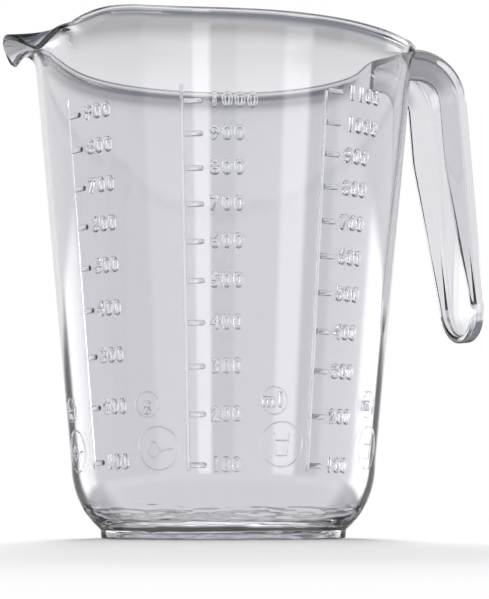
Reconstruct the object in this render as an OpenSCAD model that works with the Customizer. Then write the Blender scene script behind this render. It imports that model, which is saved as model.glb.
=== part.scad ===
// A clear moulded measuring jug with a pouring lip and an open channel handle.
// The origin is on the jug's axis, where it stands. +X points to the handle and -X to the lip.

/* [Body] */
// Outer diameter of the wall where the straight taper ends under the rim
mouth_d = 121.4; // [116:0.2:128]
// Outer diameter of the wall where it meets the rounded bottom
waist_d = 97.8; // [92:0.2:102]
// Height at which the straight taper ends under the rim
collar_z = 145; // [135:0.5:147]
// Height of the rounded bottom's upper edge
bowl_z = 24; // [18:0.5:30]
// Thickness of the moulded wall
wall_t = 1.8; // [1.2:0.1:2.4]

/* [Foot] */
// Outer diameter of the standing ring
foot_d = 79; // [74:0.5:84]
// Height of the standing ring
foot_h = 3; // [2.4:0.1:4]
// Width of the standing ring's flat
foot_ring_w = 3; // [2.4:0.1:4]
// Height of the recess under the floor
recess_h = 2.4; // [1.4:0.1:2.8]
// Thickness of the floor
floor_t = 2.6; // [2:0.1:3.2]
// Diameter of the shallow dimple that the moulding gate leaves under the floor
gate_d = 9; // [6:0.5:14]
// Depth of that dimple
gate_depth = 0.6; // [0.3:0.1:1]

/* [Rim] */
// Height of the collar at the sides, from the straight taper's end to the rim
collar_h = 13; // [11:0.5:19]
// Rise of the rim from the sides to the handle, and the unit of its wave
rim_rise = 4.8; // [3:0.1:5.4]
// How far the edge band stands out from the wall
lip_out = 1.2; // [0.6:0.1:1.6]
// Height of the edge band
lip_h = 2.4; // [1.8:0.1:3]
// Radius on the edge's two corners
lip_round = 0.6; // [0.3:0.05:0.8]

/* [Pouring lip] */
// How far the lip's tip stands out from the round rim
spout_out = 12.2; // [9:0.2:15]
// Radius of the lip's nose seen from above
spout_nose_r = 15; // [12:0.5:18]
// Height above the collar's foot at which the wall has turned outwards under the lip
spout_crest_up = 11.6; // [9.5:0.1:12.5]
// Thickness of the lip's edge
spout_edge_t = 1.2; // [0.9:0.1:1.6]

/* [Handle] */
// Width of the handle across its two side walls
handle_w = 24.6; // [21:0.2:28]
// How far the handle's back stands out from the wall's upper end
handle_out = 22.9; // [19:0.1:27]
// Further reach of the handle's back at its lower end
handle_splay = 5.6; // [3:0.2:8]
// Length of the handle from its top to its lowest point
handle_l = 97.2; // [84:0.2:106]
// Outer radius of the bend at the top
handle_bend_r = 18; // [15:0.5:20]
// Depth of the side walls along the upper half
handle_depth = 10.8; // [8.5:0.2:12]
// Depth of the side walls at the rounded end
handle_end_depth = 5; // [4:0.2:7]
// Thickness of the handle's back
handle_back_t = 2.4; // [1.8:0.1:3]
// Thickness of the handle's side walls
handle_side_t = 2.2; // [1.6:0.1:3]
// How far below the bend the side walls start to narrow towards the end
handle_taper_drop = 16.8; // [8:0.2:34]

/* [Scales] */
// How far the graduations stand out from the wall
mark_out = 0.35; // [0.2:0.05:0.6]
// Width of a scale's upright line
mark_line_w = 1.1; // [0.8:0.1:1.6]
// Height of a graduation
mark_h = 1.6; // [1.2:0.1:2]
// Length of a graduation where the straight taper ends; lower ones shorten with the wall
mark_w = 6; // [4.5:0.1:7]
// How far the highest graduation lies below the straight taper's end
marks_drop = 9.4; // [7:0.2:15]

/* [Hidden] */
$fn = 96;

// One overrun for every cut that has to pass through
cut = 1;
clear_colour = [0.82, 0.82, 0.88, 0.45];
mark_colour = [0.62, 0.62, 0.70, 0.8];

foot_r = foot_d / 2;
waist_r = waist_d / 2;
mouth_r = mouth_d / 2;
taper = (mouth_r - waist_r) / (collar_z - bowl_z);
rim_z = collar_z + collar_h;
rim_r = mouth_r + taper * collar_h;
marks_z = collar_z - marks_drop;
floor_z = recess_h + floor_t;

// Outer radius of the tapered wall at a height
function wall_r(z) = waist_r + taper * (z - bowl_z);

// The rounded bottom is part of an ellipse. The share is how far down its lower half it runs.
bowl_run_share = 0.81;
bowl_b = (bowl_z - foot_h) / bowl_run_share;
bowl_a = (waist_r - foot_r) / (1 - sqrt(1 - bowl_run_share * bowl_run_share));
bowl_steps = 18;
bowl_last_angle = asin(bowl_run_share);
function bowl_point(a, inset) =
    let (n = [bowl_b * cos(a), -bowl_a * sin(a)])
    [waist_r - bowl_a * (1 - cos(a)), bowl_z - bowl_b * sin(a)] - inset * n / norm(n);
function bowl_curve(inset) =
    [for (i = [0:bowl_steps]) bowl_point(bowl_last_angle * i / bowl_steps, inset)];
// Outer radius of the jug at a height, on the taper or on the rounded bottom
function skin_r(z) =
    z >= bowl_z ? wall_r(z)
    : waist_r - bowl_a * (1 - sqrt(1 - pow((bowl_z - z) / bowl_b, 2)));

// Height of the rim by angle from the lip, as shares of the rise: dips beside the lip, crest, handle
rim_wave_shares = [
    [-12, -1.3], [-5, 0.1], [0, 0.2], [5, 0.1], [12, -1.3], [15.5, -0.9], [19.5, -0.3], [26, 0.25],
    [34, 0.66], [42, 0.58], [49, 0.38], [58, 0.18], [70, 0.05], [85, 0], [105, -0.04],
    [122, -0.08], [140, 0], [153, 0.16], [161, 0.4], [167, 0.92], [171, 1], [180, 1], [189, 1]
];
last_wave = len(rim_wave_shares) - 1;
function wave_slope(i) =
    (rim_wave_shares[i + 1][1] - rim_wave_shares[i - 1][1])
    / (rim_wave_shares[i + 1][0] - rim_wave_shares[i - 1][0]);
function wave_share(b) =
    let (i = max([for (k = [1:last_wave - 2]) if (rim_wave_shares[k][0] <= b) k]))
    let (step = rim_wave_shares[i + 1][0] - rim_wave_shares[i][0])
    let (t = (b - rim_wave_shares[i][0]) / step)
    (2 * pow(t, 3) - 3 * pow(t, 2) + 1) * rim_wave_shares[i][1]
    + (pow(t, 3) - 2 * pow(t, 2) + t) * step * wave_slope(i)
    + (3 * pow(t, 2) - 2 * pow(t, 3)) * rim_wave_shares[i + 1][1]
    + (pow(t, 3) - pow(t, 2)) * step * wave_slope(i + 1);
function half_turn(b) = abs(b) > 180 ? 360 - abs(b) : abs(b);
function edge_z(b) = rim_z + rim_rise * wave_share(half_turn(b));

// Seen from above, the lip is a round nose joined to the rim's circle by two tangent lines
nose_centre = rim_r + spout_out - spout_nose_r;
tangent_angle = acos((rim_r - spout_nose_r) / nose_centre);
nose_angle = atan2(
    spout_nose_r * sin(tangent_angle),
    nose_centre + spout_nose_r * cos(tangent_angle)
);
function plan_r(b) =
    b < nose_angle
        ? nose_centre * cos(b) + sqrt(pow(spout_nose_r, 2) - pow(nose_centre * sin(b), 2))
        : b < tangent_angle ? rim_r / cos(tangent_angle - b) : rim_r;
function nose_out(b) = plan_r(half_turn(b)) - rim_r;

// How far the collar is the lip at an angle: 0 on the round rim and 1 once the lip stands out this much
lip_grow = 5;
function smooth(t) = t <= 0 ? 0 : t >= 1 ? 1 : t * t * (3 - 2 * t);
function mix(a, b, t) = a + (b - a) * t;
function lip_part(b) = smooth(nose_out(b) / lip_grow);
fade_from = 150;
fade_to = 164;
function handle_fade(b) = 1 - smooth((half_turn(b) - fade_from) / (fade_to - fade_from));

// Line of the collar's outer side at an angle, from the taper to the foot of its edge. On the rim it
// rises and flares. At the lip it rises, turns outwards and reaches the edge from above.
rise_shares = [0, 0.3, 0.5, 0.64, 0.76, 0.86, 0.94, 1];
flare_shares = [0, 0, 0.04, 0.13, 0.29, 0.51, 0.76, 1];
lip_rise_shares = [0, 0.5, 0.8, 0.94, 1, 1, 1, 1];
lip_out_shares = [0, 0, 0.03, 0.12, 0.27, 0.48, 0.73, 1];
last_rise = len(rise_shares) - 1;
function edge_h(b) = mix(lip_h, spout_edge_t, lip_part(b));
function line_end_z(b) = edge_z(b) - edge_h(b);
function crest_z(b) = mix(line_end_z(b), collar_z + spout_crest_up, lip_part(b));
function collar_point(b, i) =
    let (out = lip_out_shares[i], crest = crest_z(b))
    let (up = mix(rise_shares[i], lip_rise_shares[i], lip_part(b)))
    let (z = collar_z + up * (crest - collar_z) + (line_end_z(b) - crest) * out * out)
    [wall_r(z) + nose_out(b) * out, z];
function flare(b) = lip_out * handle_fade(b) * (1 - lip_part(b));
function collar_side(b) = [for (i = [0:last_rise]) collar_point(b, i)];
function unit(v) = v / norm(v);
function inward(v) = [-v[1], v[0]];
// The inner side runs one wall inside the outer one, mitred where the line turns
function mitre(n, m) = (n + m) / (1 + n * m);
function collar_inner(b, line) =
    [for (i = [0:last_rise - 1])
        i == 0 ? line[0] - [wall_t, 0]
        : line[i] + wall_t * mitre(inward(unit(line[i] - line[i - 1])), inward(unit(line[i + 1] - line[i])))];
// The edge from the outer side's end round to the inner side's end: upright on the rim, square at the lip
function rim_edge(b, end) =
    [for (p = [
        [0, 0], [0, edge_h(b) - lip_round], [-lip_round, edge_h(b)],
        [lip_round - wall_t, edge_h(b)], [-wall_t, edge_h(b) - lip_round], [-wall_t, 0]
    ])
        end + p + (p[0] < -lip_round ? [0, 0] : [flare(b), 0])];
edge_backs = [0, 0, 1, 1.8, 2.6, 3.4];
edge_ins = [0, 1, 1, 1, 1, 1];
function lip_edge(end, along) =
    [for (i = [0:len(edge_backs) - 1])
        end - edge_backs[i] * lip_round * along
        + edge_ins[i] * (i == 1 ? wall_t - lip_round : wall_t) * inward(along)];
function collar_ring(b) =
    let (line = collar_side(b))
    let (along = unit(line[last_rise] - line[last_rise - 1]))
    let (rim = rim_edge(b, line[last_rise]), lip = lip_edge(line[last_rise], along))
    concat(
        [for (i = [0:last_rise - 1]) line[i] + [flare(b) * flare_shares[i], 0]],
        [for (i = [0:len(rim) - 1]) mix(rim[i], lip[i], lip_part(b))],
        reversed(collar_inner(b, line))
    );
function reversed(list) = [for (i = [len(list) - 1:-1:0]) list[i]];
function around(b, p) = [-p[0] * cos(b), -p[0] * sin(b), p[1]];

// A solid through rings that all have the same number of points, closed by its first and last ring
module loft(rings) {
    n = len(rings[0]);
    m = len(rings);
    polyhedron(
        points = [for (ring = rings) each ring],
        faces = concat(
            [[for (i = [n - 1:-1:0]) i]],
            [[for (i = [0:n - 1]) (m - 1) * n + i]],
            [for (j = [0:m - 2]) for (i = [0:n - 1]) each
                let (a = j * n + i, b = j * n + (i + 1) % n)
                [[a, b, a + n], [b, b + n, a + n]]]
        )
    );
}

// The lip is one sector of the collar, with closer sections where its nose curves
lip_sector = 38;
nose_sector = 19;
side_steps = 5;
side_angles =
    [for (i = [1:side_steps]) nose_sector + i * (lip_sector - nose_sector) / side_steps];
lip_angles = concat(
    [for (b = reversed(side_angles)) -b],
    [for (b = [-nose_sector:nose_sector]) b],
    side_angles
);
collar_steps = 60;
collar_angles =
    [for (i = [0:collar_steps]) lip_sector + i * (360 - 2 * lip_sector) / collar_steps];

// A sector of the collar, drawn turned by an angle and turned back
module collar_sector(angles, turn) {
    color(clear_colour) rotate([0, 0, turn])
        loft([for (b = angles) [for (p = collar_ring(b)) around(b - turn, p)]]);
}
// Drawn straight, the facets start on a closing section and the solids come out inside out
lip_turn = 45;
collar_turn = 10;
module pouring_lip() { collar_sector(lip_angles, lip_turn); }
module rim_collar() { collar_sector(collar_angles, collar_turn); }

module foot_ring() {
    color(clear_colour) difference() {
        cylinder(r = foot_r, h = foot_h);
        translate([0, 0, -cut]) cylinder(r = foot_r - foot_ring_w, h = foot_h + 2 * cut);
    }
}

module base_floor() {
    color(clear_colour) difference() {
        translate([0, 0, recess_h]) cylinder(r = foot_r - foot_ring_w, h = floor_t);
        translate([0, 0, recess_h - cut]) cylinder(d = gate_d, h = cut + gate_depth);
    }
}

module lower_bowl() {
    inner = bowl_curve(wall_t);
    color(clear_colour) rotate_extrude()
        polygon(concat(
            bowl_curve(0),
            [[foot_r - foot_ring_w, foot_h], [foot_r - foot_ring_w, floor_z]],
            [for (i = [bowl_steps:-1:1]) if (inner[i][1] > floor_z) inner[i]],
            [[waist_r - wall_t, bowl_z]]
        ));
}

module body_wall() {
    color(clear_colour) rotate_extrude()
        polygon([
            [waist_r, bowl_z], [mouth_r, collar_z],
            [mouth_r - wall_t, collar_z], [waist_r - wall_t, bowl_z]
        ]);
}

// Handle, drawn from the side: X is the distance from the axis and Y is the height
handle_top_z = rim_z + rim_rise;
bend_z = handle_top_z - handle_bend_r;
end_z = handle_top_z - handle_l + handle_w / 2;
lean = atan2(handle_splay, bend_z - end_z);
bend_x = mouth_r + handle_out - handle_bend_r;
bend_steps = 10;
// The bend stops where it meets the leaning back
function bend_arc(r) =
    [for (i = [0:bend_steps])
        let (a = 90 - (90 - lean) * i / bend_steps)
        [bend_x + r * cos(a), bend_z + r * sin(a)]];
leg_dir = [sin(lean), -cos(lean)];
leg_in = [-cos(lean), -sin(lean)];
leg_start = [bend_x, bend_z] - handle_bend_r * leg_in;
leg_len = (leg_start[1] - end_z) / cos(lean);
leg_end = leg_start + leg_len * leg_dir;
taper_from = (leg_start[1] - bend_z + handle_taper_drop) / cos(lean);

function outer_line() = concat(bend_arc(handle_bend_r), [leg_end]);
function inner_line(depth, end_depth) = concat(
    [leg_end + end_depth * leg_in],
    [leg_start + taper_from * leg_dir + depth * leg_in],
    reversed(bend_arc(handle_bend_r - depth))
);
module side_profile(depth, end_depth) {
    polygon(concat(
        [[0, handle_top_z]],
        outer_line(),
        inner_line(depth, end_depth),
        [[0, handle_top_z - depth]]
    ));
}

// The handle is cut by the tapered wall that carries it
module wall_core() {
    rotate_extrude()
        polygon([
            [0, bowl_z], [waist_r, bowl_z],
            [wall_r(handle_top_z + cut), handle_top_z + cut], [0, handle_top_z + cut]
        ]);
}

module handle_slice(y, t, depth, end_depth) {
    difference() {
        translate([0, y + t, 0]) rotate([90, 0, 0])
            linear_extrude(height = t) side_profile(depth, end_depth);
        wall_core();
    }
}

module handle_back() {
    color(clear_colour)
        handle_slice(
            handle_side_t - handle_w / 2, handle_w - 2 * handle_side_t, handle_back_t, handle_back_t
        );
}

module handle_side_near() {
    color(clear_colour)
        handle_slice(-handle_w / 2, handle_side_t, handle_depth, handle_end_depth);
}

module handle_side_far() {
    color(clear_colour)
        handle_slice(handle_w / 2 - handle_side_t, handle_side_t, handle_depth, handle_end_depth);
}

// The rounded end closes the channel: a half disc with a half wall round it
module handle_rounded_end() {
    r = handle_w / 2;
    color(clear_colour)
        translate([leg_end[0], 0, leg_end[1]]) rotate([0, -90 - lean, 0]) rotate([0, 0, 90])
            rotate_extrude(angle = 180)
                polygon([
                    [0, 0], [r, 0], [r, handle_end_depth],
                    [r - handle_side_t, handle_end_depth], [r - handle_side_t, handle_back_t],
                    [0, handle_back_t]
                ]);
}

// Scales: each has its angle from the lip, and the heights of its graduations as shares of the highest
lip_scale_angle = 15;
centre_scale_angle = 56.7;
right_scale_angle = 100.2;
lip_scale_shares = [0.173, 0.296, 0.411, 0.516, 0.612, 0.705, 0.793, 0.881, 0.959];
centre_scale_shares = [0.165, 0.276, 0.381, 0.477, 0.569, 0.655, 0.737, 0.816, 0.892, 0.964];
right_scale_shares = [0.165, 0.274, 0.375, 0.463, 0.549, 0.631, 0.709, 0.786, 0.859, 0.929, 1];

// Section of a raised mark: it lies on the jug's skin and follows it past the edge of the rounded bottom
module mark_section(low, high) {
    heights = low < bowl_z && high > bowl_z ? [low, bowl_z, high] : [low, high];
    polygon(concat(
        [for (z = heights) [skin_r(z), z]],
        [for (z = reversed(heights)) [skin_r(z) + mark_out, z]]
    ));
}

module scale_line(angle, shares) {
    low = marks_z * shares[0] - mark_h;
    line_angle = mark_line_w / wall_r(marks_z / 2) * 180 / PI;
    color(mark_colour) rotate([0, 0, 180 + angle - line_angle / 2])
        rotate_extrude(angle = line_angle) mark_section(low, marks_z);
}

// A graduation starts at the line and has a round end
module scale_tick(angle, z) {
    end_x = mark_line_w / 2 + mark_w * skin_r(z) / mouth_r - mark_h / 2;
    intersection() {
        rotate_extrude() mark_section(z - mark_h, z + mark_h);
        rotate([0, 0, 180 + angle]) rotate([90, 0, 90]) linear_extrude(height = mouth_d) {
            translate([mark_line_w / 2, z - mark_h / 2]) square([end_x - mark_line_w / 2, mark_h]);
            translate([end_x, z]) circle(d = mark_h);
        }
    }
}

module scale_ticks(angle, shares) {
    color(mark_colour) for (s = shares) scale_tick(angle, marks_z * s);
}

module lip_scale_line() { scale_line(lip_scale_angle, lip_scale_shares); }
module lip_scale_ticks() { scale_ticks(lip_scale_angle, lip_scale_shares); }
module centre_scale_line() { scale_line(centre_scale_angle, centre_scale_shares); }
module centre_scale_ticks() { scale_ticks(centre_scale_angle, centre_scale_shares); }
module right_scale_line() { scale_line(right_scale_angle, right_scale_shares); }
module right_scale_ticks() { scale_ticks(right_scale_angle, right_scale_shares); }

foot_ring();
base_floor();
lower_bowl();
body_wall();
rim_collar();
pouring_lip();
handle_back();
handle_side_near();
handle_side_far();
handle_rounded_end();
lip_scale_line();
lip_scale_ticks();
centre_scale_line();
centre_scale_ticks();
right_scale_line();
right_scale_ticks();
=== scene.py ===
"""The looks of a clear moulded measuring jug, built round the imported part.

Lengths are in millimetres up to the point where a mesh is made, and angles round the jug are in
degrees from the pouring lip, which points to -X. The handle points to +X and the near side is -Y.
"""
import math

import bmesh
import bpy
import numpy as np
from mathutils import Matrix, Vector


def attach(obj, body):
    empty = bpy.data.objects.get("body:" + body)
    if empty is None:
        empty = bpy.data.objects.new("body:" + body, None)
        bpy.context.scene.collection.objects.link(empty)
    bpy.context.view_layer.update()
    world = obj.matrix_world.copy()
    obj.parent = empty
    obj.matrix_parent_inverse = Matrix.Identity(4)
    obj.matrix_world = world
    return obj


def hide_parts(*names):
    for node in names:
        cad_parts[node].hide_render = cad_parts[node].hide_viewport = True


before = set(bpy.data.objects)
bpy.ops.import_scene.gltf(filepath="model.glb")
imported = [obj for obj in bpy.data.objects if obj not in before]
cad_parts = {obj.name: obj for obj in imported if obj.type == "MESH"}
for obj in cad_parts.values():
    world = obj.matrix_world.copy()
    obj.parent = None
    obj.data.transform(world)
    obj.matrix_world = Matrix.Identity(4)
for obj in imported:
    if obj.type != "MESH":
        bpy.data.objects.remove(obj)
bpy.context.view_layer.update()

MM = 0.001

# Body
MOUTH_R = 60.7
WAIST_R = 48.9
COLLAR_Z = 145.0
BOWL_Z = 24.0
WALL_T = 1.8
TAPER = (MOUTH_R - WAIST_R) / (COLLAR_Z - BOWL_Z)

# Foot
FOOT_R = 39.5
FOOT_H = 3.0
FOOT_RING_W = 3.0
RECESS_H = 2.4
FLOOR_Z = 5.0
GATE_R = 4.5
GATE_DEPTH = 0.6
BOWL_RUN_SHARE = 0.81
BOWL_B = (BOWL_Z - FOOT_H) / BOWL_RUN_SHARE
BOWL_A = (WAIST_R - FOOT_R) / (1 - math.sqrt(1 - BOWL_RUN_SHARE**2))
# Rounding of the dimple's bottom and brim, of the recess and of the foot's three edges
GATE_ROUND = 0.4
GATE_BRIM_ROUND = 0.3
GATE_SLOPE = 0.3
RECESS_ROUND = 0.9
FOOT_INNER_ROUND = 0.5
FOOT_INNER_SLOPE = 0.2
FOOT_OUTER_ROUND = 0.7
FOOT_OUTER_SLOPE = 0.3
FOOT_TOP_ROUND = 0.8
# Where the bottom's curve goes on from the foot's top, outwards and upwards
FOOT_TOP_RUN = 1.6
FOOT_TOP_RISE = 0.75
# Inside, the floor's rounding and how far above the floor the wall's own curve ends
FLOOR_ROUND = 7.0
FLOOR_ROUND_UP = 2.4

# Rim
RIM_Z = 158.0
RIM_RISE = 4.8
EDGE_OUT = 1.2
EDGE_H = 1.6
EDGE_ROUND = 0.6
RIM_R = MOUTH_R + TAPER * (RIM_Z - COLLAR_Z)
# Degrees from the lip between which the edge's flare fades out towards the handle
FADE_FROM = 150.0
FADE_TO = 164.0
FLARE_POWER = 4.5
# Heights of the edge: degrees from the lip, and the share of RIM_RISE over RIM_Z
RIM_WAVE = [
    (-7, -0.66), (-4, -0.3), (0, -0.12), (4, -0.3), (7, -0.66), (10, -1.08), (11.7, -1.2),
    (13.4, -1.0), (15.5, -0.6), (18, -0.2), (21, 0.1), (26, 0.42), (34, 0.66), (42, 0.58),
    (49, 0.38), (58, 0.18), (70, 0.05), (85, 0), (105, -0.04), (122, -0.08), (140, 0),
    (153, 0.16), (161, 0.4), (167, 0.92), (171, 1), (180, 1), (189, 1),
]
# Shares along the collar's outer side: its rise on the rim, and its rise and reach at the lip
RISE_SHARES = [0, 0.3, 0.5, 0.64, 0.76, 0.86, 0.94, 1]
LIP_RISE_SHARES = [0, 0.5, 0.8, 0.94, 1, 1, 1, 1]
LIP_OUT_SHARES = [0, 0, 0.03, 0.12, 0.27, 0.48, 0.73, 1]

# Pouring lip
LIP_OUT = 12.2
LIP_NOSE_R = 15.0
LIP_CREST_UP = 11.6
LIP_EDGE_T = 1.2
# The rim has wholly passed into the lip where its plan stands out this far
LIP_GROW = 5.0
LIP_ROUND = 0.45
LIP_BACK_SHARE = 1.1
NOSE_CENTRE = RIM_R + LIP_OUT - LIP_NOSE_R
TANGENT_ANGLE = math.acos((RIM_R - LIP_NOSE_R) / NOSE_CENTRE)
NOSE_ANGLE = math.atan2(
    LIP_NOSE_R * math.sin(TANGENT_ANGLE), NOSE_CENTRE + LIP_NOSE_R * math.cos(TANGENT_ANGLE)
)

# Handle
HANDLE_W = 24.6
# Where its top passes through the collar, on the way from the middle of the wall to the bend
HANDLE_ENTRY = (62.6, 64.2)
HANDLE_REACH = 83.6
HANDLE_SPLAY = 5.6
HANDLE_END_Z = 65.6
HANDLE_BEND_R = 18.0
HANDLE_DEPTH = 10.8
HANDLE_END_DEPTH = 5.0
HANDLE_BACK_T = 2.4
HANDLE_SIDE_T = 2.2
HANDLE_TAPER_Z = 128.0
HANDLE_OUTER_ROUND = 1.5
HANDLE_EDGE_ROUND = 0.7
HANDLE_INNER_ROUND = 1.2
TOP_Z = RIM_Z + RIM_RISE
BEND_X = HANDLE_REACH - HANDLE_BEND_R
BEND_Z = TOP_Z - HANDLE_BEND_R
END_Z = HANDLE_END_Z + HANDLE_W / 2
LEAN = math.atan2(HANDLE_SPLAY, BEND_Z - END_Z)
# The handle's top lies this much under the rim's, so that the two surfaces never coincide
TOP_DROP = 0.04

# How finely the surfaces are divided
FILLET_STEPS = 5
FINE_FILLET_STEPS = 6
EDGE_FILLET_STEPS = 4
FLOOR_FILLET_STEPS = 8
BOWL_STEPS = 26
FLOOR_SEARCH_STEPS = 200
COLLAR_STEPS = 28
WALL_STEPS = 6
FINE_TURN = 0.5
COARSE_TURN = 1.0
FINE_NEAR_LIP = 50
FINE_NEAR_HANDLE = 150
BEND_STEPS = 30
LEG_STEPS = 24
END_STEPS = 32
# Distances in metres below which two points are one point
WELD = 1e-7
MARK_WELD = 2e-6
# Edges turned further than this, in degrees, stay sharp
SHARP_ANGLE = 35
MARK_SHARP_ANGLE = 28

# Scales
MARK_OUT = 0.35
MARK_GAP = 0.03
MARK_BEVEL = 0.15
LINE_W = 1.1
LINE_STEPS = 40
TICK_H = 1.6
TICK_W = 6.0
TICK_GAP = 0.15
TICK_END_STEPS = 12
TICK_BARS = 5
MARKS_Z = 135.6
DIGIT_H = 4.2
DIGIT_ADVANCE = 3.45
# Digits are drawn in by a little, because their rounded edges widen them again
DIGIT_BOLD = 0.026
DIGIT_DRAW_IN = 0.1
DIGIT_NARROW = 0.88
DIGIT_STEP = 100
DIGIT_OUT = 0.65
DIGIT_BEVEL = 0.27
DIGIT_RAISE = 0.35
# Numerals start this far from their scale's line, in radians, and have their size at this radius
LABEL_TURN = 0.136
LABEL_R = 54.0
RING_W = 0.4
RING_STEPS = 72
# Letters in a ring: height, distance from one to the next and drop, as shares of its radius
LETTER_H_SHARE = 0.95
LETTER_ADVANCE_SHARE = 0.85
LETTER_DROP_SHARE = 0.4
# Arcs of the spoon as shares of its ring's radius: start, run, height, rise, turn, and steps
SPOON_BOWL = (-0.55, 0.62, -0.16, -0.26, math.pi, 12)
SPOON_HANDLE = (0.07, 0.6, -0.16, 0.14, 1.3, 8)
SPOON_HEAP = (-0.52, 0.56, -0.08, 0.36, math.pi, 12)
# The tumbler and its filling line, as points in shares of the ring's radius
TUMBLER = [
    (-0.36, 0.5), (-0.3, 0.0), (-0.24, -0.5), (0.0, -0.5), (0.24, -0.5), (0.3, 0.0), (0.36, 0.5),
]
TUMBLER_LEVEL = [(-0.28, 0.16), (0.0, 0.16), (0.28, 0.16)]
# Degrees from the lip, and the heights of the graduations as shares of the highest one's
SCALES = {
    "lip_scale": (15.0, [0.173, 0.296, 0.411, 0.516, 0.612, 0.705, 0.793, 0.881, 0.959]),
    "centre_scale": (
        56.7, [0.165, 0.276, 0.381, 0.477, 0.569, 0.655, 0.737, 0.816, 0.892, 0.964],
    ),
    "right_scale": (
        100.2, [0.165, 0.274, 0.375, 0.463, 0.549, 0.631, 0.709, 0.786, 0.859, 0.929, 1.0],
    ),
}
# Unit rings stand above pictogram rings: angle, height, radius and what is inside
RINGS = {
    "lip_scale_signs": [(-2.0, 40.3, 4.0, "g"), (1.0, 27.3, 6.7, "spoon")],
    "centre_scale_signs": [(42.0, 40.7, 4.0, "g"), (45.7, 27.5, 6.7, "spoon")],
    "right_scale_signs": [(86.5, 41.7, 4.3, "ml"), (89.7, 28.7, 6.9, "tumbler")],
    "back_scale_signs": [(132.0, 41.7, 4.3, "ml"), (134.5, 28.4, 6.9, "tumbler")],
}


def wall_r(z):
    return WAIST_R + TAPER * (z - BOWL_Z)


def skin_r(z):
    """Outer radius of the jug at a height below the rim."""
    if z >= BOWL_Z:
        return wall_r(z)
    return WAIST_R - BOWL_A * (1 - math.sqrt(1 - ((BOWL_Z - z) / BOWL_B) ** 2))


def half_turn(b):
    b = abs(b) % 360
    return 360 - b if b > 180 else b


def cubic(t, start, end, start_slope, end_slope):
    """A curve from start to end as t goes from 0 to 1, with its slopes there."""
    return (
        (2 * t**3 - 3 * t**2 + 1) * start
        + (t**3 - 2 * t**2 + t) * start_slope
        + (3 * t**2 - 2 * t**3) * end
        + (t**3 - t**2) * end_slope
    )


def wave_share(b):
    """Smooth curve through the rim's heights."""
    def slope(k):
        (b0, s0), (b1, s1) = RIM_WAVE[k - 1], RIM_WAVE[k + 1]
        return (s1 - s0) / (b1 - b0)

    i = max(k for k in range(1, len(RIM_WAVE) - 2) if RIM_WAVE[k][0] <= b)
    (b0, s0), (b1, s1) = RIM_WAVE[i], RIM_WAVE[i + 1]
    step = b1 - b0
    return cubic((b - b0) / step, s0, s1, step * slope(i), step * slope(i + 1))


def edge_z(b):
    return RIM_Z + RIM_RISE * wave_share(half_turn(b))


def nose_out(b):
    """How far the rim's plan leaves its circle, towards the lip's tip."""
    a = math.radians(half_turn(b))
    if a < NOSE_ANGLE:
        return (
            NOSE_CENTRE * math.cos(a)
            + math.sqrt(LIP_NOSE_R**2 - (NOSE_CENTRE * math.sin(a)) ** 2)
            - RIM_R
        )
    if a < TANGENT_ANGLE:
        return RIM_R / math.cos(TANGENT_ANGLE - a) - RIM_R
    return 0.0


def smooth(t):
    t = min(max(t, 0.0), 1.0)
    return t * t * (3 - 2 * t)


def handle_fade(b):
    return 1 - smooth((half_turn(b) - FADE_FROM) / (FADE_TO - FADE_FROM))


def unit(v):
    return v / np.linalg.norm(v)


def fillet(corners, steps=FILLET_STEPS):
    """Points of an open line of (r, z, radius) corners, each rounded by its own radius."""
    points = []
    last = len(corners) - 1
    for i, (r, z, radius) in enumerate(corners):
        p = np.array([r, z])
        if radius == 0 or i in (0, last):
            points.append(p)
            continue
        u = unit(np.array(corners[i - 1][:2]) - p)
        v = unit(np.array(corners[i + 1][:2]) - p)
        half = math.acos(max(-1.0, min(1.0, float(u @ v)))) / 2
        reach = radius / math.tan(half)
        centre = p + unit(u + v) * radius / math.sin(half)
        start = p + u * reach - centre
        end = p + v * reach - centre
        turn = math.acos(max(-1.0, min(1.0, float(start @ end) / radius**2)))
        for k in range(steps + 1):
            t = k / steps
            points.append(
                centre + (math.sin((1 - t) * turn) * start + math.sin(t * turn) * end) / math.sin(turn)
            )
    return points


def bowl_line(inset, steps=BOWL_STEPS):
    """The rounded bottom's curve from its upper edge down to the foot."""
    points = []
    for i in range(steps + 1):
        a = math.asin(BOWL_RUN_SHARE) * i / steps
        n = np.array([BOWL_B * math.cos(a), -BOWL_A * math.sin(a)])
        p = np.array([WAIST_R - BOWL_A * (1 - math.cos(a)), BOWL_Z - BOWL_B * math.sin(a)])
        points.append(p - inset * n / np.linalg.norm(n))
    return points


def underside_line():
    """From the axis under the floor, over the gate's dimple, down to the foot and up to its top."""
    inner_r = FOOT_R - FOOT_RING_W
    dimple_z = RECESS_H + GATE_DEPTH
    return fillet([
        (0, dimple_z, 0), (GATE_R, dimple_z, GATE_ROUND),
        (GATE_R + GATE_SLOPE, RECESS_H, GATE_BRIM_ROUND), (inner_r, RECESS_H, RECESS_ROUND),
        (inner_r + FOOT_INNER_SLOPE, 0, FOOT_INNER_ROUND),
        (FOOT_R - FOOT_OUTER_SLOPE, 0, FOOT_OUTER_ROUND), (FOOT_R, FOOT_H, FOOT_TOP_ROUND),
        (FOOT_R + FOOT_TOP_RUN, FOOT_H + FOOT_TOP_RISE, 0),
    ])[:-1]


def inner_floor_line():
    """From the inside of the rounded bottom to the axis."""
    curve = [p for p in bowl_line(WALL_T) if p[1] > FLOOR_Z + FLOOR_ROUND_UP]
    end = [p for p in bowl_line(WALL_T, FLOOR_SEARCH_STEPS) if p[1] > FLOOR_Z][-1]
    corners = [(*curve[-1], 0), (*end, FLOOR_ROUND), (0, FLOOR_Z, 0)]
    return curve + fillet(corners, FLOOR_FILLET_STEPS)[1:]


def mix(a, b, t):
    return a + (b - a) * t


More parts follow.
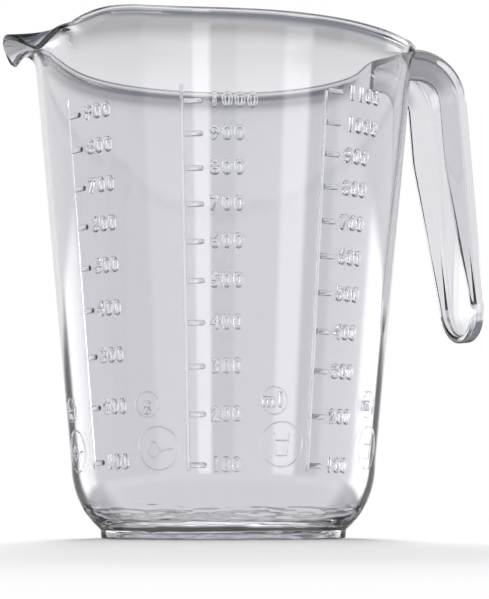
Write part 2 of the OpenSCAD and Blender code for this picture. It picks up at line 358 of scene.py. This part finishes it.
def share_curve(shares, t):
    """A smooth monotone curve through evenly placed shares."""
    last = len(shares) - 1
    k = min(int(t * last), last - 1)
    u = t * last - k
    rises = [shares[i + 1] - shares[i] for i in range(last)]

    def slope(i):
        if i in (0, last):
            return rises[0] if i == 0 else rises[-1]
        before, after = rises[i - 1], rises[i]
        return 0 if before * after <= 0 else 2 * before * after / (before + after)

    return cubic(u, shares[k], shares[k + 1], slope(k), slope(k + 1))


def inward(v):
    return np.array([-v[1], v[0]])


def collar_line(b):
    """Outer side of the collar upwards, round the edge, and the inner side downwards."""
    part = smooth(nose_out(b) / LIP_GROW)
    flare = EDGE_OUT * handle_fade(b) * (1 - part)
    height = mix(EDGE_H, LIP_EDGE_T, part)
    end_z = edge_z(b) - height
    crest = mix(end_z, COLLAR_Z + LIP_CREST_UP, part)
    line = []
    for k in range(COLLAR_STEPS + 1):
        t = k / COLLAR_STEPS
        reach = share_curve(LIP_OUT_SHARES, t)
        up = mix(share_curve(RISE_SHARES, t), share_curve(LIP_RISE_SHARES, t), part)
        z = COLLAR_Z + up * (crest - COLLAR_Z) + (end_z - crest) * reach**2
        line.append(np.array([wall_r(z) + nose_out(b) * reach, z]))
    last = COLLAR_STEPS
    outer = [
        p + np.array([flare * ((p[1] - COLLAR_Z) / (line[-1][1] - COLLAR_Z)) ** FLARE_POWER, 0])
        if flare else p
        for p in line
    ]
    inner = [line[0] - np.array([WALL_T, 0])]
    for k in range(1, last):
        n = inward(unit(line[k] - line[k - 1]))
        m = inward(unit(line[k + 1] - line[k]))
        inner.append(line[k] + WALL_T * (n + m) / (1 + float(n @ m)))
    along = unit(line[last] - line[last - 1])
    across = inward(along)
    end = line[last]
    rim = fillet([
        (*outer[-1], 0), (end[0] + flare, end[1] + height, EDGE_ROUND),
        (end[0] - WALL_T, end[1] + height, EDGE_ROUND), (end[0] - WALL_T, end[1], 0),
    ], FINE_FILLET_STEPS)
    corner = end + across * WALL_T
    back = along * LIP_ROUND * LIP_BACK_SHARE
    lip = fillet([
        (*(end - back), 0), (*end, LIP_ROUND), (*corner, LIP_ROUND), (*(corner - back), 0),
    ], FINE_FILLET_STEPS)
    return outer[:-1] + [mix(p, q, part) for p, q in zip(rim, lip)] + inner[::-1]


def straight(start, end):
    """Points between two ends of the wall's straight part, without the ends."""
    return [start + (end - start) * k / WALL_STEPS for k in range(1, WALL_STEPS)]


def vessel_profile(b):
    outer_bowl = bowl_line(0)[::-1][1:]
    collar = collar_line(b)
    floor = inner_floor_line()
    return (
        underside_line() + outer_bowl + straight(outer_bowl[-1], collar[0])
        + collar + straight(collar[-1], floor[0]) + floor
    )


def azimuths():
    """Angles round the jug, close together at the lip and at the handle's corners."""
    angles = []
    b = -180.0
    while b < 180.0:
        angles.append(b)
        from_lip = abs(b + FINE_TURN / 2)
        fine = from_lip < FINE_NEAR_LIP or from_lip > FINE_NEAR_HANDLE
        b += FINE_TURN if fine else COARSE_TURN
    return angles


def mesh_object(name, verts, faces):
    mesh = bpy.data.meshes.new(name)
    mesh.from_pydata([tuple(v) for v in verts], [], faces)
    mesh.validate()
    obj = bpy.data.objects.new(name, mesh)
    bpy.context.scene.collection.objects.link(obj)
    return obj


def vessel_mesh():
    """The body as one closed surface, from the middle of the underside to the middle of the inside."""
    angles = azimuths()
    rings = [vessel_profile(b) for b in angles]
    n = len(rings[0])
    m = len(rings)
    verts = []
    for b, ring in zip(angles, rings):
        c, s = math.cos(math.radians(b)), math.sin(math.radians(b))
        verts += [(-p[0] * c * MM, -p[0] * s * MM, p[1] * MM) for p in ring[1:-1]]
    step = n - 2
    bottom = len(verts)
    verts.append((0, 0, rings[0][0][1] * MM))
    inside = len(verts)
    verts.append((0, 0, rings[0][-1][1] * MM))
    faces = []
    for j in range(m):
        k = (j + 1) % m
        for i in range(step - 1):
            faces.append((j * step + i, k * step + i, k * step + i + 1, j * step + i + 1))
        faces.append((bottom, k * step, j * step))
        faces.append((inside, j * step + step - 1, k * step + step - 1))
    return mesh_object("clear_moulding", verts, faces)


def handle_stations():
    """Along the handle's back: point, inward direction and depth of the side walls.

    The first point has no x, because it lies in the middle of the jug's wall.
    """
    stations = []
    for x in (None, *HANDLE_ENTRY):
        stations.append((x, TOP_Z - TOP_DROP, 0.0, -1.0, HANDLE_DEPTH))
    for i in range(BEND_STEPS + 1):
        a = math.pi / 2 - (math.pi / 2 - LEAN) * i / BEND_STEPS
        c, s = math.cos(a), math.sin(a)
        drop = TOP_DROP * (1 - i / BEND_STEPS)
        stations.append(
            (BEND_X + HANDLE_BEND_R * c, BEND_Z + HANDLE_BEND_R * s - drop, -c, -s, HANDLE_DEPTH)
        )
    x0, z0 = stations[-1][:2]
    leg = (z0 - END_Z) / math.cos(LEAN)
    narrow_from = (z0 - HANDLE_TAPER_Z) / math.cos(LEAN)
    for i in range(1, LEG_STEPS + 1):
        s = leg * i / LEG_STEPS
        t = max(0.0, (s - narrow_from) / (leg - narrow_from))
        stations.append((
            x0 + s * math.sin(LEAN), z0 - s * math.cos(LEAN),
            -math.cos(LEAN), -math.sin(LEAN),
            HANDLE_DEPTH + (HANDLE_END_DEPTH - HANDLE_DEPTH) * t,
        ))
    return stations


def channel_section(depth):
    """Half of the channel: distance in from its side, and depth from its back."""
    half = HANDLE_W / 2
    side = HANDLE_SIDE_T
    corners = [
        ((half, 0, 0), (0, 0, HANDLE_OUTER_ROUND), (0, depth / 2, 0)),
        ((0, depth / 2, 0), (0, depth, HANDLE_EDGE_ROUND), (side / 2, depth, 0)),
        ((side / 2, depth, 0), (side, depth, HANDLE_EDGE_ROUND), (side, depth / 2, 0)),
        ((side, depth / 2, 0), (side, HANDLE_BACK_T, HANDLE_INNER_ROUND), (half, HANDLE_BACK_T, 0)),
    ]
    steps = (FINE_FILLET_STEPS, EDGE_FILLET_STEPS, EDGE_FILLET_STEPS, FINE_FILLET_STEPS)
    section = [np.array([half, 0])]
    for corner, count in zip(corners, steps):
        section += fillet(corner, count)[1:]
    return section


def handle_mesh():
    """The channel handle as one closed surface. It starts in the middle of the jug's wall."""
    stations = handle_stations()
    rows = [(*station, 0.0) for station in stations]
    rows += [(*stations[-1], math.pi * i / END_STEPS) for i in range(1, END_STEPS)]
    rows += [(*station, math.pi) for station in reversed(stations)]
    half = HANDLE_W / 2
    down = (math.sin(LEAN), -math.cos(LEAN))
    verts = []
    for x, z, nx, nz, depth, a in rows:
        for u, d in channel_section(depth):
            reach = half - u
            y = -reach * math.cos(a)
            along = reach * math.sin(a)
            pz = z + d * nz + along * down[1]
            if x is None:
                mid_wall = wall_r(pz) - WALL_T / 2
                px = math.sqrt(mid_wall**2 - y * y)
            else:
                px = x + d * nx + along * down[0]
            verts.append((px * MM, y * MM, pz * MM))
    n = len(channel_section(HANDLE_DEPTH))
    m = len(rows)
    faces = []
    for j in range(m - 1):
        for i in range(n - 1):
            faces.append((j * n + i, j * n + i + 1, (j + 1) * n + i + 1, (j + 1) * n + i))
    for first, flip in ((0, False), ((m - 1) * n, True)):
        for i in range(n // 2):
            quad = [first + i, first + n - 1 - i, first + n - 2 - i, first + i + 1]
            quad = list(dict.fromkeys(quad))
            if len(quad) > 2:
                faces.append(tuple(reversed(quad)) if flip else tuple(quad))
    obj = mesh_object("handle_channel", verts, faces)
    bm = bmesh.new()
    bm.from_mesh(obj.data)
    bmesh.ops.remove_doubles(bm, verts=bm.verts, dist=WELD)
    bmesh.ops.recalc_face_normals(bm, faces=bm.faces)
    bm.to_mesh(obj.data)
    bm.free()
    return obj


def outward(obj):
    """Turns the faces of a closed surface outwards."""
    bm = bmesh.new()
    bm.from_mesh(obj.data)
    bmesh.ops.recalc_face_normals(bm, faces=bm.faces)
    if bm.calc_volume(signed=True) < 0:
        bmesh.ops.reverse_faces(bm, faces=bm.faces)
    bm.to_mesh(obj.data)
    bm.free()


def baked(obj):
    """Replaces the object's mesh by its evaluated one, and drops its modifiers."""
    graph = bpy.context.evaluated_depsgraph_get()
    mesh = bpy.data.meshes.new_from_object(obj.evaluated_get(graph))
    obj.modifiers.clear()
    obj.data = mesh


def joined(body, tool):
    """The union of two closed surfaces."""
    union = body.modifiers.new("union", "BOOLEAN")
    union.operation = "UNION"
    union.object = tool
    union.solver = "MANIFOLD"
    baked(body)
    bpy.data.objects.remove(tool, do_unlink=True)


def shaded(obj, angle=SHARP_ANGLE):
    obj.data.shade_smooth()
    obj.data.set_sharp_from_angle(angle=math.radians(angle))


# Materials
IOR = 1.55
BODY_TINT = (0.76, 0.76, 0.79)
MARK_TINT = (0.93, 0.93, 0.95)
BODY_ROUGH = 0.03
MARK_ROUGH = 0.05
# Smallest and largest roughness as shares of the mean one
ROUGH_SPREAD = (0.6, 1.5)
FLOW_NOISE = {"Scale": 45, "Detail": 3, "Roughness": 0.55}
WAVE_NOISE = {"Scale": 22, "Detail": 1, "Roughness": 0.4}
WAVE_STRENGTH = 0.25
BODY_WAVE = 0.0002
MARK_WAVE = 0.0001
# Ripples in the thick plastic round the floor, and between which heights in metres they come up
RIPPLE_NOISE = {"Scale": 48, "Detail": 2, "Roughness": 0.55}
RIPPLE_STRETCH = (1, 1, 5)
RIPPLE_FROM = 0.0125
RIPPLE_FULL = 0.0095
RIPPLE_STRENGTH = 0.7
BODY_RIPPLE = 0.0012


def node(tree, kind, **sockets):
    made = tree.nodes.new(kind)
    for name, value in sockets.items():
        made.inputs[name.replace("_", " ")].default_value = value
    return made


def math_node(tree, operation, value=None):
    made = tree.nodes.new("ShaderNodeMath")
    made.operation = operation
    if value is not None:
        made.inputs[1].default_value = value
    return made


def step_node(tree, value, low, high, full=1):
    """A smooth rise from 0 to full between two values of a socket."""
    made = node(tree, "ShaderNodeMapRange", From_Min=low, From_Max=high, To_Min=0, To_Max=full)
    made.interpolation_type = "SMOOTHSTEP"
    tree.links.new(value, made.inputs["Value"])
    return made.outputs["Result"]


def blend(tree, factor, a, b):
    """A node that goes from one brightness to another. Each is a socket or a number."""
    made = tree.nodes.new("ShaderNodeMix")
    made.data_type = "FLOAT"
    tree.links.new(factor, made.inputs["Factor"])
    for name, value in (("A", a), ("B", b)):
        if isinstance(value, float):
            made.inputs[name].default_value = value
        else:
            tree.links.new(value, made.inputs[name])
    return made.outputs["Result"]


def clear_plastic(name, tint, rough, wave, ripple=0):
    """Clear moulded plastic: faint mould flow in its roughness and a slow waviness in its surface."""
    material = bpy.data.materials.new(name)
    material.use_nodes = True
    tree = material.node_tree
    shader = tree.nodes["Principled BSDF"]
    shader.inputs["Base Color"].default_value = (*tint, 1)
    shader.inputs["IOR"].default_value = IOR
    shader.inputs["Transmission Weight"].default_value = 1
    place = tree.nodes.new("ShaderNodeTexCoord").outputs["Object"]
    flow = node(tree, "ShaderNodeTexNoise", **FLOW_NOISE)
    low, high = ROUGH_SPREAD
    spread = node(tree, "ShaderNodeMapRange", To_Min=rough * low, To_Max=rough * high)
    slow = node(tree, "ShaderNodeTexNoise", **WAVE_NOISE)
    bump = node(tree, "ShaderNodeBump", Strength=WAVE_STRENGTH, Distance=wave)
    tree.links.new(place, flow.inputs["Vector"])
    tree.links.new(place, slow.inputs["Vector"])
    tree.links.new(flow.outputs["Fac"], spread.inputs["Value"])
    tree.links.new(spread.outputs["Result"], shader.inputs["Roughness"])
    tree.links.new(slow.outputs["Fac"], bump.inputs["Height"])
    stretch = node(tree, "ShaderNodeMapping", Scale=RIPPLE_STRETCH)
    ripples = node(tree, "ShaderNodeTexNoise", **RIPPLE_NOISE)
    axes = tree.nodes.new("ShaderNodeSeparateXYZ")
    tree.links.new(place, axes.inputs["Vector"])
    near_floor = step_node(tree, axes.outputs["Z"], RIPPLE_FROM, RIPPLE_FULL, RIPPLE_STRENGTH)
    floor_bump = node(tree, "ShaderNodeBump", Distance=ripple)
    tree.links.new(place, stretch.inputs["Vector"])
    tree.links.new(stretch.outputs["Vector"], ripples.inputs["Vector"])
    tree.links.new(near_floor, floor_bump.inputs["Strength"])
    tree.links.new(ripples.outputs["Fac"], floor_bump.inputs["Height"])
    tree.links.new(bump.outputs["Normal"], floor_bump.inputs["Normal"])
    tree.links.new(floor_bump.outputs["Normal"], shader.inputs["Normal"])
    return material


body_plastic = clear_plastic("clear_plastic", BODY_TINT, BODY_ROUGH, BODY_WAVE, BODY_RIPPLE)
mark_plastic = clear_plastic("raised_plastic", MARK_TINT, MARK_ROUGH, MARK_WAVE)


def finished(obj, material, slot, *replaced):
    """Gives a piece its material and body, and hides the nodes that it stands for. The slot is not used."""
    obj.data.materials.clear()
    obj.data.materials.append(material)
    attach(obj, "root")
    if replaced:
        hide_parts(*replaced)


# Clear moulding
moulding = vessel_mesh()
outward(moulding)
channel = handle_mesh()
outward(channel)
joined(moulding, channel)
shaded(moulding)
finished(
    moulding, body_plastic, "clear_plastic",
    "foot_ring", "base_floor", "lower_bowl", "body_wall", "rim_collar", "pouring_lip",
    "handle_back", "handle_side_near", "handle_side_far", "handle_rounded_end",
)


# Relief on the skin
def wrapped(name, mesh, angle, place):
    """An object from a flat relief. place turns a flat x and y into degrees past the angle and a height."""
    for v in mesh.vertices:
        turn, z = place(v.co.x, v.co.y)
        b = math.radians(angle + turn)
        r = skin_r(z) + MARK_GAP + v.co.z
        v.co = Vector((-r * math.cos(b) * MM, -r * math.sin(b) * MM, z * MM))
    obj = bpy.data.objects.new(name, mesh)
    bpy.context.scene.collection.objects.link(obj)
    return obj


def raised(curve, out=MARK_OUT, bevel=MARK_BEVEL):
    """The mesh of a flat curve or text as relief of one height with rounded edges, from depth 0 up."""
    curve.extrude = out / 2 - bevel
    curve.bevel_depth = bevel
    curve.bevel_resolution = 1
    obj = bpy.data.objects.new("flat", curve)
    bpy.context.scene.collection.objects.link(obj)
    graph = bpy.context.evaluated_depsgraph_get()
    mesh = bpy.data.meshes.new_from_object(obj.evaluated_get(graph))
    bpy.data.objects.remove(obj, do_unlink=True)
    for v in mesh.vertices:
        v.co.z += out / 2
    return mesh


def outline(loops):
    curve = bpy.data.curves.new("outline", "CURVE")
    curve.dimensions = "2D"
    curve.fill_mode = "BOTH"
    curve.offset = -MARK_BEVEL
    for loop in loops:
        spline = curve.splines.new("POLY")
        spline.points.add(len(loop) - 1)
        for point, (x, y) in zip(spline.points, loop):
            point.co = (x, y, 0, 1)
        spline.use_cyclic_u = True
    return curve


def on_scale(x, y):
    """Flat lengths to degrees and height where widths keep their length."""
    return math.degrees(x / skin_r(y)), y


def on_label(x, y):
    """Flat lengths to degrees and height where widths follow the wall's taper."""
    return math.degrees(x / LABEL_R), y


def line_loop(low, high):
    """A long upright bar with points all the way, so that it can follow the rounded bottom."""
    heights = [low + (high - low) * k / LINE_STEPS for k in range(LINE_STEPS + 1)]
    half = LINE_W / 2
    return [(half, z) for z in heights] + [(-half, z) for z in reversed(heights)]


def tick_loop(z):
    """A bar that starts at the line and has a round end."""
    start = LINE_W / 2 + TICK_GAP
    r = TICK_H / 2
    end = LINE_W / 2 + TICK_W * skin_r(z) / MOUTH_R - r
    arc = [math.pi / 2 - math.pi * k / TICK_END_STEPS for k in range(TICK_END_STEPS + 1)]
    top = [(start + (end - start) * k / TICK_BARS, z + r) for k in range(TICK_BARS)]
    bottom = [(x, z - r) for x, _ in reversed(top)]
    return top + [(end + r * math.cos(a), z + r * math.sin(a)) for a in arc] + bottom


def text_curve(text):
    curve = bpy.data.curves.new("glyph", "FONT")
    curve.body = text
    return curve


def font_digit_height():
    """Height of a digit where the font's size is 1."""
    obj = bpy.data.objects.new("probe", text_curve("0"))
    bpy.context.scene.collection.objects.link(obj)
    bpy.context.view_layer.update()
    height = obj.dimensions.y
    bpy.data.objects.remove(obj, do_unlink=True)
    return height


FONT_DIGIT_H = font_digit_height()


def word_meshes(text, height, advance):
    """Rounded characters of a height, with a fixed distance from one to the next."""
    meshes = []
    for k, letter in enumerate(text):
        font = text_curve(letter)
        font.size = height / FONT_DIGIT_H
        font.offset = DIGIT_BOLD * font.size - DIGIT_DRAW_IN
        mesh = raised(font, DIGIT_OUT, DIGIT_BEVEL)
        xs = [v.co.x for v in mesh.vertices]
        middle = (min(xs) + max(xs)) / 2
        for v in mesh.vertices:
            v.co.x = (v.co.x - middle) * DIGIT_NARROW + advance * (k + 0.5)
        meshes.append(mesh)
    return meshes


def merged(name, objects):
    """One object from several."""
    bm = bmesh.new()
    for obj in objects:
        bm.from_mesh(obj.data)
        bpy.data.objects.remove(obj, do_unlink=True)
    bmesh.ops.remove_doubles(bm, verts=bm.verts, dist=MARK_WELD)
    bmesh.ops.recalc_face_normals(bm, faces=bm.faces)
    mesh = bpy.data.meshes.new(name)
    bm.to_mesh(mesh)
    bm.free()
    obj = bpy.data.objects.new(name, mesh)
    bpy.context.scene.collection.objects.link(obj)
    shaded(obj, MARK_SHARP_ANGLE)
    return obj


for scale, (angle, shares) in SCALES.items():
    low = MARKS_Z * shares[0] - TICK_H
    line = wrapped(scale + "_line", raised(outline([line_loop(low, MARKS_Z)])), angle, on_scale)
    finished(merged(scale + "_bar", [line]), mark_plastic, "scale_marks", scale + "_line")
    ticks = []
    numerals = []
    for k, share in enumerate(shares):
        z = MARKS_Z * share
        ticks.append(wrapped("tick", raised(outline([tick_loop(z)])), angle, on_scale))
        for mesh in word_meshes(str(DIGIT_STEP * (k + 1)), DIGIT_H, DIGIT_ADVANCE):
            for v in mesh.vertices:
                v.co.y += z + DIGIT_RAISE - DIGIT_H / 2
            numerals.append(wrapped("numeral", mesh, angle + math.degrees(LABEL_TURN), on_label))
    finished(merged(scale + "_graduations", ticks), mark_plastic, "scale_marks", scale + "_ticks")
    finished(merged(scale + "_numerals", numerals), mark_plastic, "scale_marks")


def circle_loop(r):
    turns = [2 * math.pi * k / RING_STEPS for k in range(RING_STEPS)]
    return [(r * math.cos(a), r * math.sin(a)) for a in turns]


def band_loop(points, width):
    """The outline of a band of a width along a line."""
    side_a = []
    side_b = []
    last = len(points) - 1
    for i, (x, y) in enumerate(points):
        before = points[max(i - 1, 0)]
        after = points[min(i + 1, last)]
        dx, dy = after[0] - before[0], after[1] - before[1]
        length = math.hypot(dx, dy)
        nx, ny = -dy / length * width / 2, dx / length * width / 2
        side_a.append((x + nx, y + ny))
        side_b.append((x - nx, y - ny))
    return side_a + side_b[::-1]


def arc_line(r, start, run, height, rise, turn, steps):
    """A line that runs sideways and rises along a part of a sine."""
    return [
        (start * r + run * r * k / steps, height * r + rise * r * math.sin(turn * k / steps))
        for k in range(steps + 1)
    ]


def spoon_lines(r):
    """A spoon seen from the side with a heap on it."""
    return [
        arc_line(r, *SPOON_BOWL) + arc_line(r, *SPOON_HANDLE)[1:],
        arc_line(r, *SPOON_HEAP),
    ]


def tumbler_lines(r):
    """A tumbler seen from the side with its filling line."""
    return [[(x * r, y * r) for x, y in line] for line in (TUMBLER, TUMBLER_LEVEL)]


PICTOGRAMS = {"spoon": spoon_lines, "tumbler": tumbler_lines}


def sign_parts(angle, z, r, content):
    """A ring with its unit or pictogram, round a point of the skin."""
    def on_ring(x, y):
        return math.degrees(x / skin_r(z)), z + y

    ring = raised(outline([circle_loop(r), circle_loop(r - RING_W)]))
    parts = [wrapped("ring", ring, angle, on_ring)]
    if content in PICTOGRAMS:
        for line in PICTOGRAMS[content](r):
            mesh = raised(outline([band_loop(line, RING_W)]))
            parts.append(wrapped(content, mesh, angle, on_ring))
        return parts
    advance = LETTER_ADVANCE_SHARE * r
    for mesh in word_meshes(content, LETTER_H_SHARE * r, advance):
        for v in mesh.vertices:
            v.co.x -= advance * len(content) / 2
            v.co.y -= LETTER_DROP_SHARE * r
        parts.append(wrapped("unit", mesh, angle, on_ring))
    return parts


for name, rings in RINGS.items():
    parts = [part for ring in rings for part in sign_parts(*ring)]
    finished(merged(name, parts), mark_plastic, "scale_marks")


# Studio: a white ground for the camera. What is mirrored in the jug or seen through it is a bright
# panel behind it, upright light strips round it, a dark ceiling and a ground. They are told apart by
# direction. Levels are brightnesses, where 1 is white.
WHITE = (1, 1, 1, 1)
CEILING_COLOUR = (0.80, 0.87, 1.0, 1)
CAMERA_LEVEL = 1.0
DIFFUSE_LEVEL = 0.87
UPPER_LEVEL = 1.0
PANEL_LEVEL = 1.0
OVER_PANEL_LEVEL = 0.5
CEILING_LEVEL = 0.2
# The ground on the camera's side of the jug, beyond the jug, and steeply below it
GROUND_BEFORE = 1.7
GROUND_LEVEL = 0.3
DEPTH_LEVEL = 1.0
# The panel's direction, and how closely a direction agrees with it at the panel's edge
PANEL_AHEAD = (0.356, 0.929, 0.105)
PANEL_SHARE = (0.93, 0.975)
BEHIND_SHARE = (0.1, 0.4)
# How steeply a direction rises or falls where one part passes into the next
STRIPS_TOP = (0.034, 0.056)
PANEL_TOP = (0.19, 0.28)
CEILING = (0.33, 0.42)
GROUND = (-0.2, -0.3)
DEPTH = (-0.55, -0.7)
# Azimuth as a share of a turn from -Y leftwards, with the strips' brightness there
STRIPS = [
    (0.0, 1.6), (0.034, 1.5), (0.042, 0.8), (0.078, 0.8), (0.086, 3.9), (0.106, 3.9), (0.114, 1.8),
    (0.190, 1.7), (0.202, 1.0), (0.365, 1.0), (0.385, 2.4), (0.440, 2.4), (0.455, 0.2),
    (0.655, 0.2), (0.670, 3.6), (0.735, 3.2), (0.755, 1.6), (0.840, 1.6), (0.858, 0.6),
    (0.903, 0.6), (0.914, 3.4), (0.950, 3.4), (0.962, 1.6), (1.0, 1.6),
]


# Floor, in metres: it keeps the jug's shadow near the jug and passes into the white ground further off
FLOOR_HALF = 3.0
FLOOR_STEPS = 12
FLOOR_COLOUR = (0.95, 0.95, 0.95, 1)
FLOOR_ROUGH = 0.9
FLOOR_FADE = (0.22, 0.55)


def floor_material():
    material = bpy.data.materials.new("pale_floor")
    material.use_nodes = True
    tree = material.node_tree
    shader = tree.nodes["Principled BSDF"]
    shader.inputs["Base Color"].default_value = FLOOR_COLOUR
    shader.inputs["Roughness"].default_value = FLOOR_ROUGH
    shader.inputs["Specular IOR Level"].default_value = 0
    place = tree.nodes.new("ShaderNodeTexCoord")
    far = tree.nodes.new("ShaderNodeVectorMath")
    far.operation = "LENGTH"
    tree.links.new(place.outputs["Object"], far.inputs[0])
    path = tree.nodes.new("ShaderNodeLightPath")
    share = math_node(tree, "MULTIPLY")
    tree.links.new(step_node(tree, far.outputs["Value"], *FLOOR_FADE), share.inputs[0])
    tree.links.new(path.outputs["Is Camera Ray"], share.inputs[1])
    white = node(tree, "ShaderNodeEmission", Color=WHITE, Strength=CAMERA_LEVEL)
    mixed = tree.nodes.new("ShaderNodeMixShader")
    tree.links.new(share.outputs["Value"], mixed.inputs["Fac"])
    tree.links.new(shader.outputs["BSDF"], mixed.inputs[1])
    tree.links.new(white.outputs["Emission"], mixed.inputs[2])
    tree.links.new(mixed.outputs["Shader"], tree.nodes["Material Output"].inputs["Surface"])
    return material


def floor_plane():
    row = FLOOR_STEPS + 1
    places = [FLOOR_HALF * (2 * i / FLOOR_STEPS - 1) for i in range(row)]
    verts = [(x, y, 0) for y in places for x in places]
    corners = [j * row + i for j in range(FLOOR_STEPS) for i in range(FLOOR_STEPS)]
    faces = [(k, k + 1, k + row + 1, k + row) for k in corners]
    floor = mesh_object("studio_floor", verts, faces)
    floor.data.materials.append(floor_material())
    floor.visible_glossy = False
    floor.visible_transmission = False


floor_plane()


def strips_level(tree, axes):
    """Brightness of the upright strips, by azimuth alone."""
    azimuth = math_node(tree, "ARCTAN2")
    share = node(tree, "ShaderNodeMapRange", From_Min=-math.pi, From_Max=math.pi)
    ramp = tree.nodes.new("ShaderNodeValToRGB")
    ramp.color_ramp.interpolation = "EASE"
    top = max(level for _, level in STRIPS)
    # The ramp's own two elements are at 0 and 1, as the table's first and last are
    elements = ramp.color_ramp.elements
    for position, _ in STRIPS[1:-1]:
        elements.new(position)
    for element, (_, level) in zip(elements, STRIPS):
        element.color = (level / top,) * 3 + (1,)
    strips = math_node(tree, "MULTIPLY", top)
    tree.links.new(axes.outputs["X"], azimuth.inputs[0])
    tree.links.new(axes.outputs["Y"], azimuth.inputs[1])
    tree.links.new(azimuth.outputs["Value"], share.inputs["Value"])
    tree.links.new(share.outputs["Result"], ramp.inputs["Fac"])
    tree.links.new(ramp.outputs["Color"], strips.inputs[0])
    return strips.outputs["Value"]


def studio_world():
    world = bpy.data.worlds.new("studio")
    bpy.context.scene.world = world
    world.use_nodes = True
    tree = world.node_tree
    background = tree.nodes["Background"]
    path = tree.nodes.new("ShaderNodeLightPath")
    place = tree.nodes.new("ShaderNodeTexCoord")
    axes = tree.nodes.new("ShaderNodeSeparateXYZ")
    ahead = tree.nodes.new("ShaderNodeVectorMath")
    ahead.operation = "DOT_PRODUCT"
    ahead.inputs[1].default_value = PANEL_AHEAD
    tree.links.new(place.outputs["Generated"], axes.inputs["Vector"])
    tree.links.new(place.outputs["Generated"], ahead.inputs[0])
    rise = axes.outputs["Z"]
    agreement = ahead.outputs["Value"]
    ceiling = step_node(tree, rise, *CEILING)
    # Each part of the room covers what was there before it
    room = blend(tree, step_node(tree, rise, *STRIPS_TOP), strips_level(tree, axes), UPPER_LEVEL)
    panel = blend(tree, step_node(tree, rise, *PANEL_TOP), PANEL_LEVEL, OVER_PANEL_LEVEL)
    room = blend(tree, step_node(tree, agreement, *PANEL_SHARE), room, panel)
    room = blend(tree, ceiling, room, CEILING_LEVEL)
    beyond = blend(tree, step_node(tree, rise, *DEPTH), GROUND_LEVEL, DEPTH_LEVEL)
    ground = blend(tree, step_node(tree, agreement, *BEHIND_SHARE), GROUND_BEFORE, beyond)
    room = blend(tree, step_node(tree, rise, *GROUND), room, ground)
    room = blend(tree, path.outputs["Is Diffuse Ray"], room, DIFFUSE_LEVEL)
    room = blend(tree, path.outputs["Is Camera Ray"], room, CAMERA_LEVEL)
    tree.links.new(room, background.inputs["Strength"])
    # The ceiling's colour, for neither camera nor diffuse rays
    untinted = math_node(tree, "ADD")
    tree.links.new(path.outputs["Is Camera Ray"], untinted.inputs[0])
    tree.links.new(path.outputs["Is Diffuse Ray"], untinted.inputs[1])
    tinted = math_node(tree, "SUBTRACT")
    tree.links.new(ceiling, tinted.inputs[0])
    tree.links.new(untinted.outputs["Value"], tinted.inputs[1])
    tint = tree.nodes.new("ShaderNodeMix")
    tint.data_type = "RGBA"
    tint.clamp_factor = True
    tint.inputs["A"].default_value = WHITE
    tint.inputs["B"].default_value = CEILING_COLOUR
    tree.links.new(tinted.outputs["Value"], tint.inputs["Factor"])
    tree.links.new(tint.outputs["Result"], background.inputs["Color"])


studio_world()

# Lamp over the jug, seen only in what it lights, in metres and watts
LAMP_PLACE = (0.5, 1.3, 0.8)
LAMP_TARGET = (0, 0, 0.05)
LAMP_SIZE = 0.5
LAMP_WATTS = 22


def lamp(name, location, target, size, watts):
    light = bpy.data.lights.new(name, "AREA")
    light.shape = "DISK"
    light.size = size
    light.energy = watts
    obj = bpy.data.objects.new(name, light)
    obj.location = location
    obj.rotation_euler = (Vector(target) - Vector(location)).to_track_quat("-Z", "Y").to_euler()
    obj.visible_camera = False
    obj.visible_transmission = False
    obj.visible_glossy = False
    bpy.context.scene.collection.objects.link(obj)


lamp("overhead", LAMP_PLACE, LAMP_TARGET, LAMP_SIZE, LAMP_WATTS)

# Camera, fitted to the rim, the foot and the handle in the photograph: degrees, metres, and
# millimetres for the sensor and the lens
CAMERA_AZIMUTH = -21.0
CAMERA_DISTANCE = 0.66388
CAMERA_HEIGHT = 0.00877
CAMERA_TURN = 0.585
CAMERA_PITCH = 5.873
SENSOR = 36.0
LENS = 123.6
CAMERA_RANGE = 20


def set_camera():
    scene = bpy.context.scene
    a = math.radians(CAMERA_AZIMUTH)
    back = Vector((math.sin(a), -math.cos(a), 0))
    turn = math.radians(CAMERA_TURN)
    ahead = -back
    ahead = Vector((
        ahead.x * math.cos(turn) + ahead.y * math.sin(turn),
        -ahead.x * math.sin(turn) + ahead.y * math.cos(turn),
        0,
    ))
    pitch = math.radians(CAMERA_PITCH)
    forward = ahead * math.cos(pitch) + Vector((0, 0, math.sin(pitch)))
    data = bpy.data.cameras.new("camera")
    data.sensor_width = SENSOR
    data.lens = LENS
    data.clip_end = CAMERA_RANGE
    camera = bpy.data.objects.new("camera", data)
    camera.location = back * CAMERA_DISTANCE + Vector((0, 0, CAMERA_HEIGHT))
    camera.rotation_euler = forward.to_track_quat("-Z", "Y").to_euler()
    scene.collection.objects.link(camera)
    scene.camera = camera
    scene.view_settings.view_transform = "Standard"


set_camera()
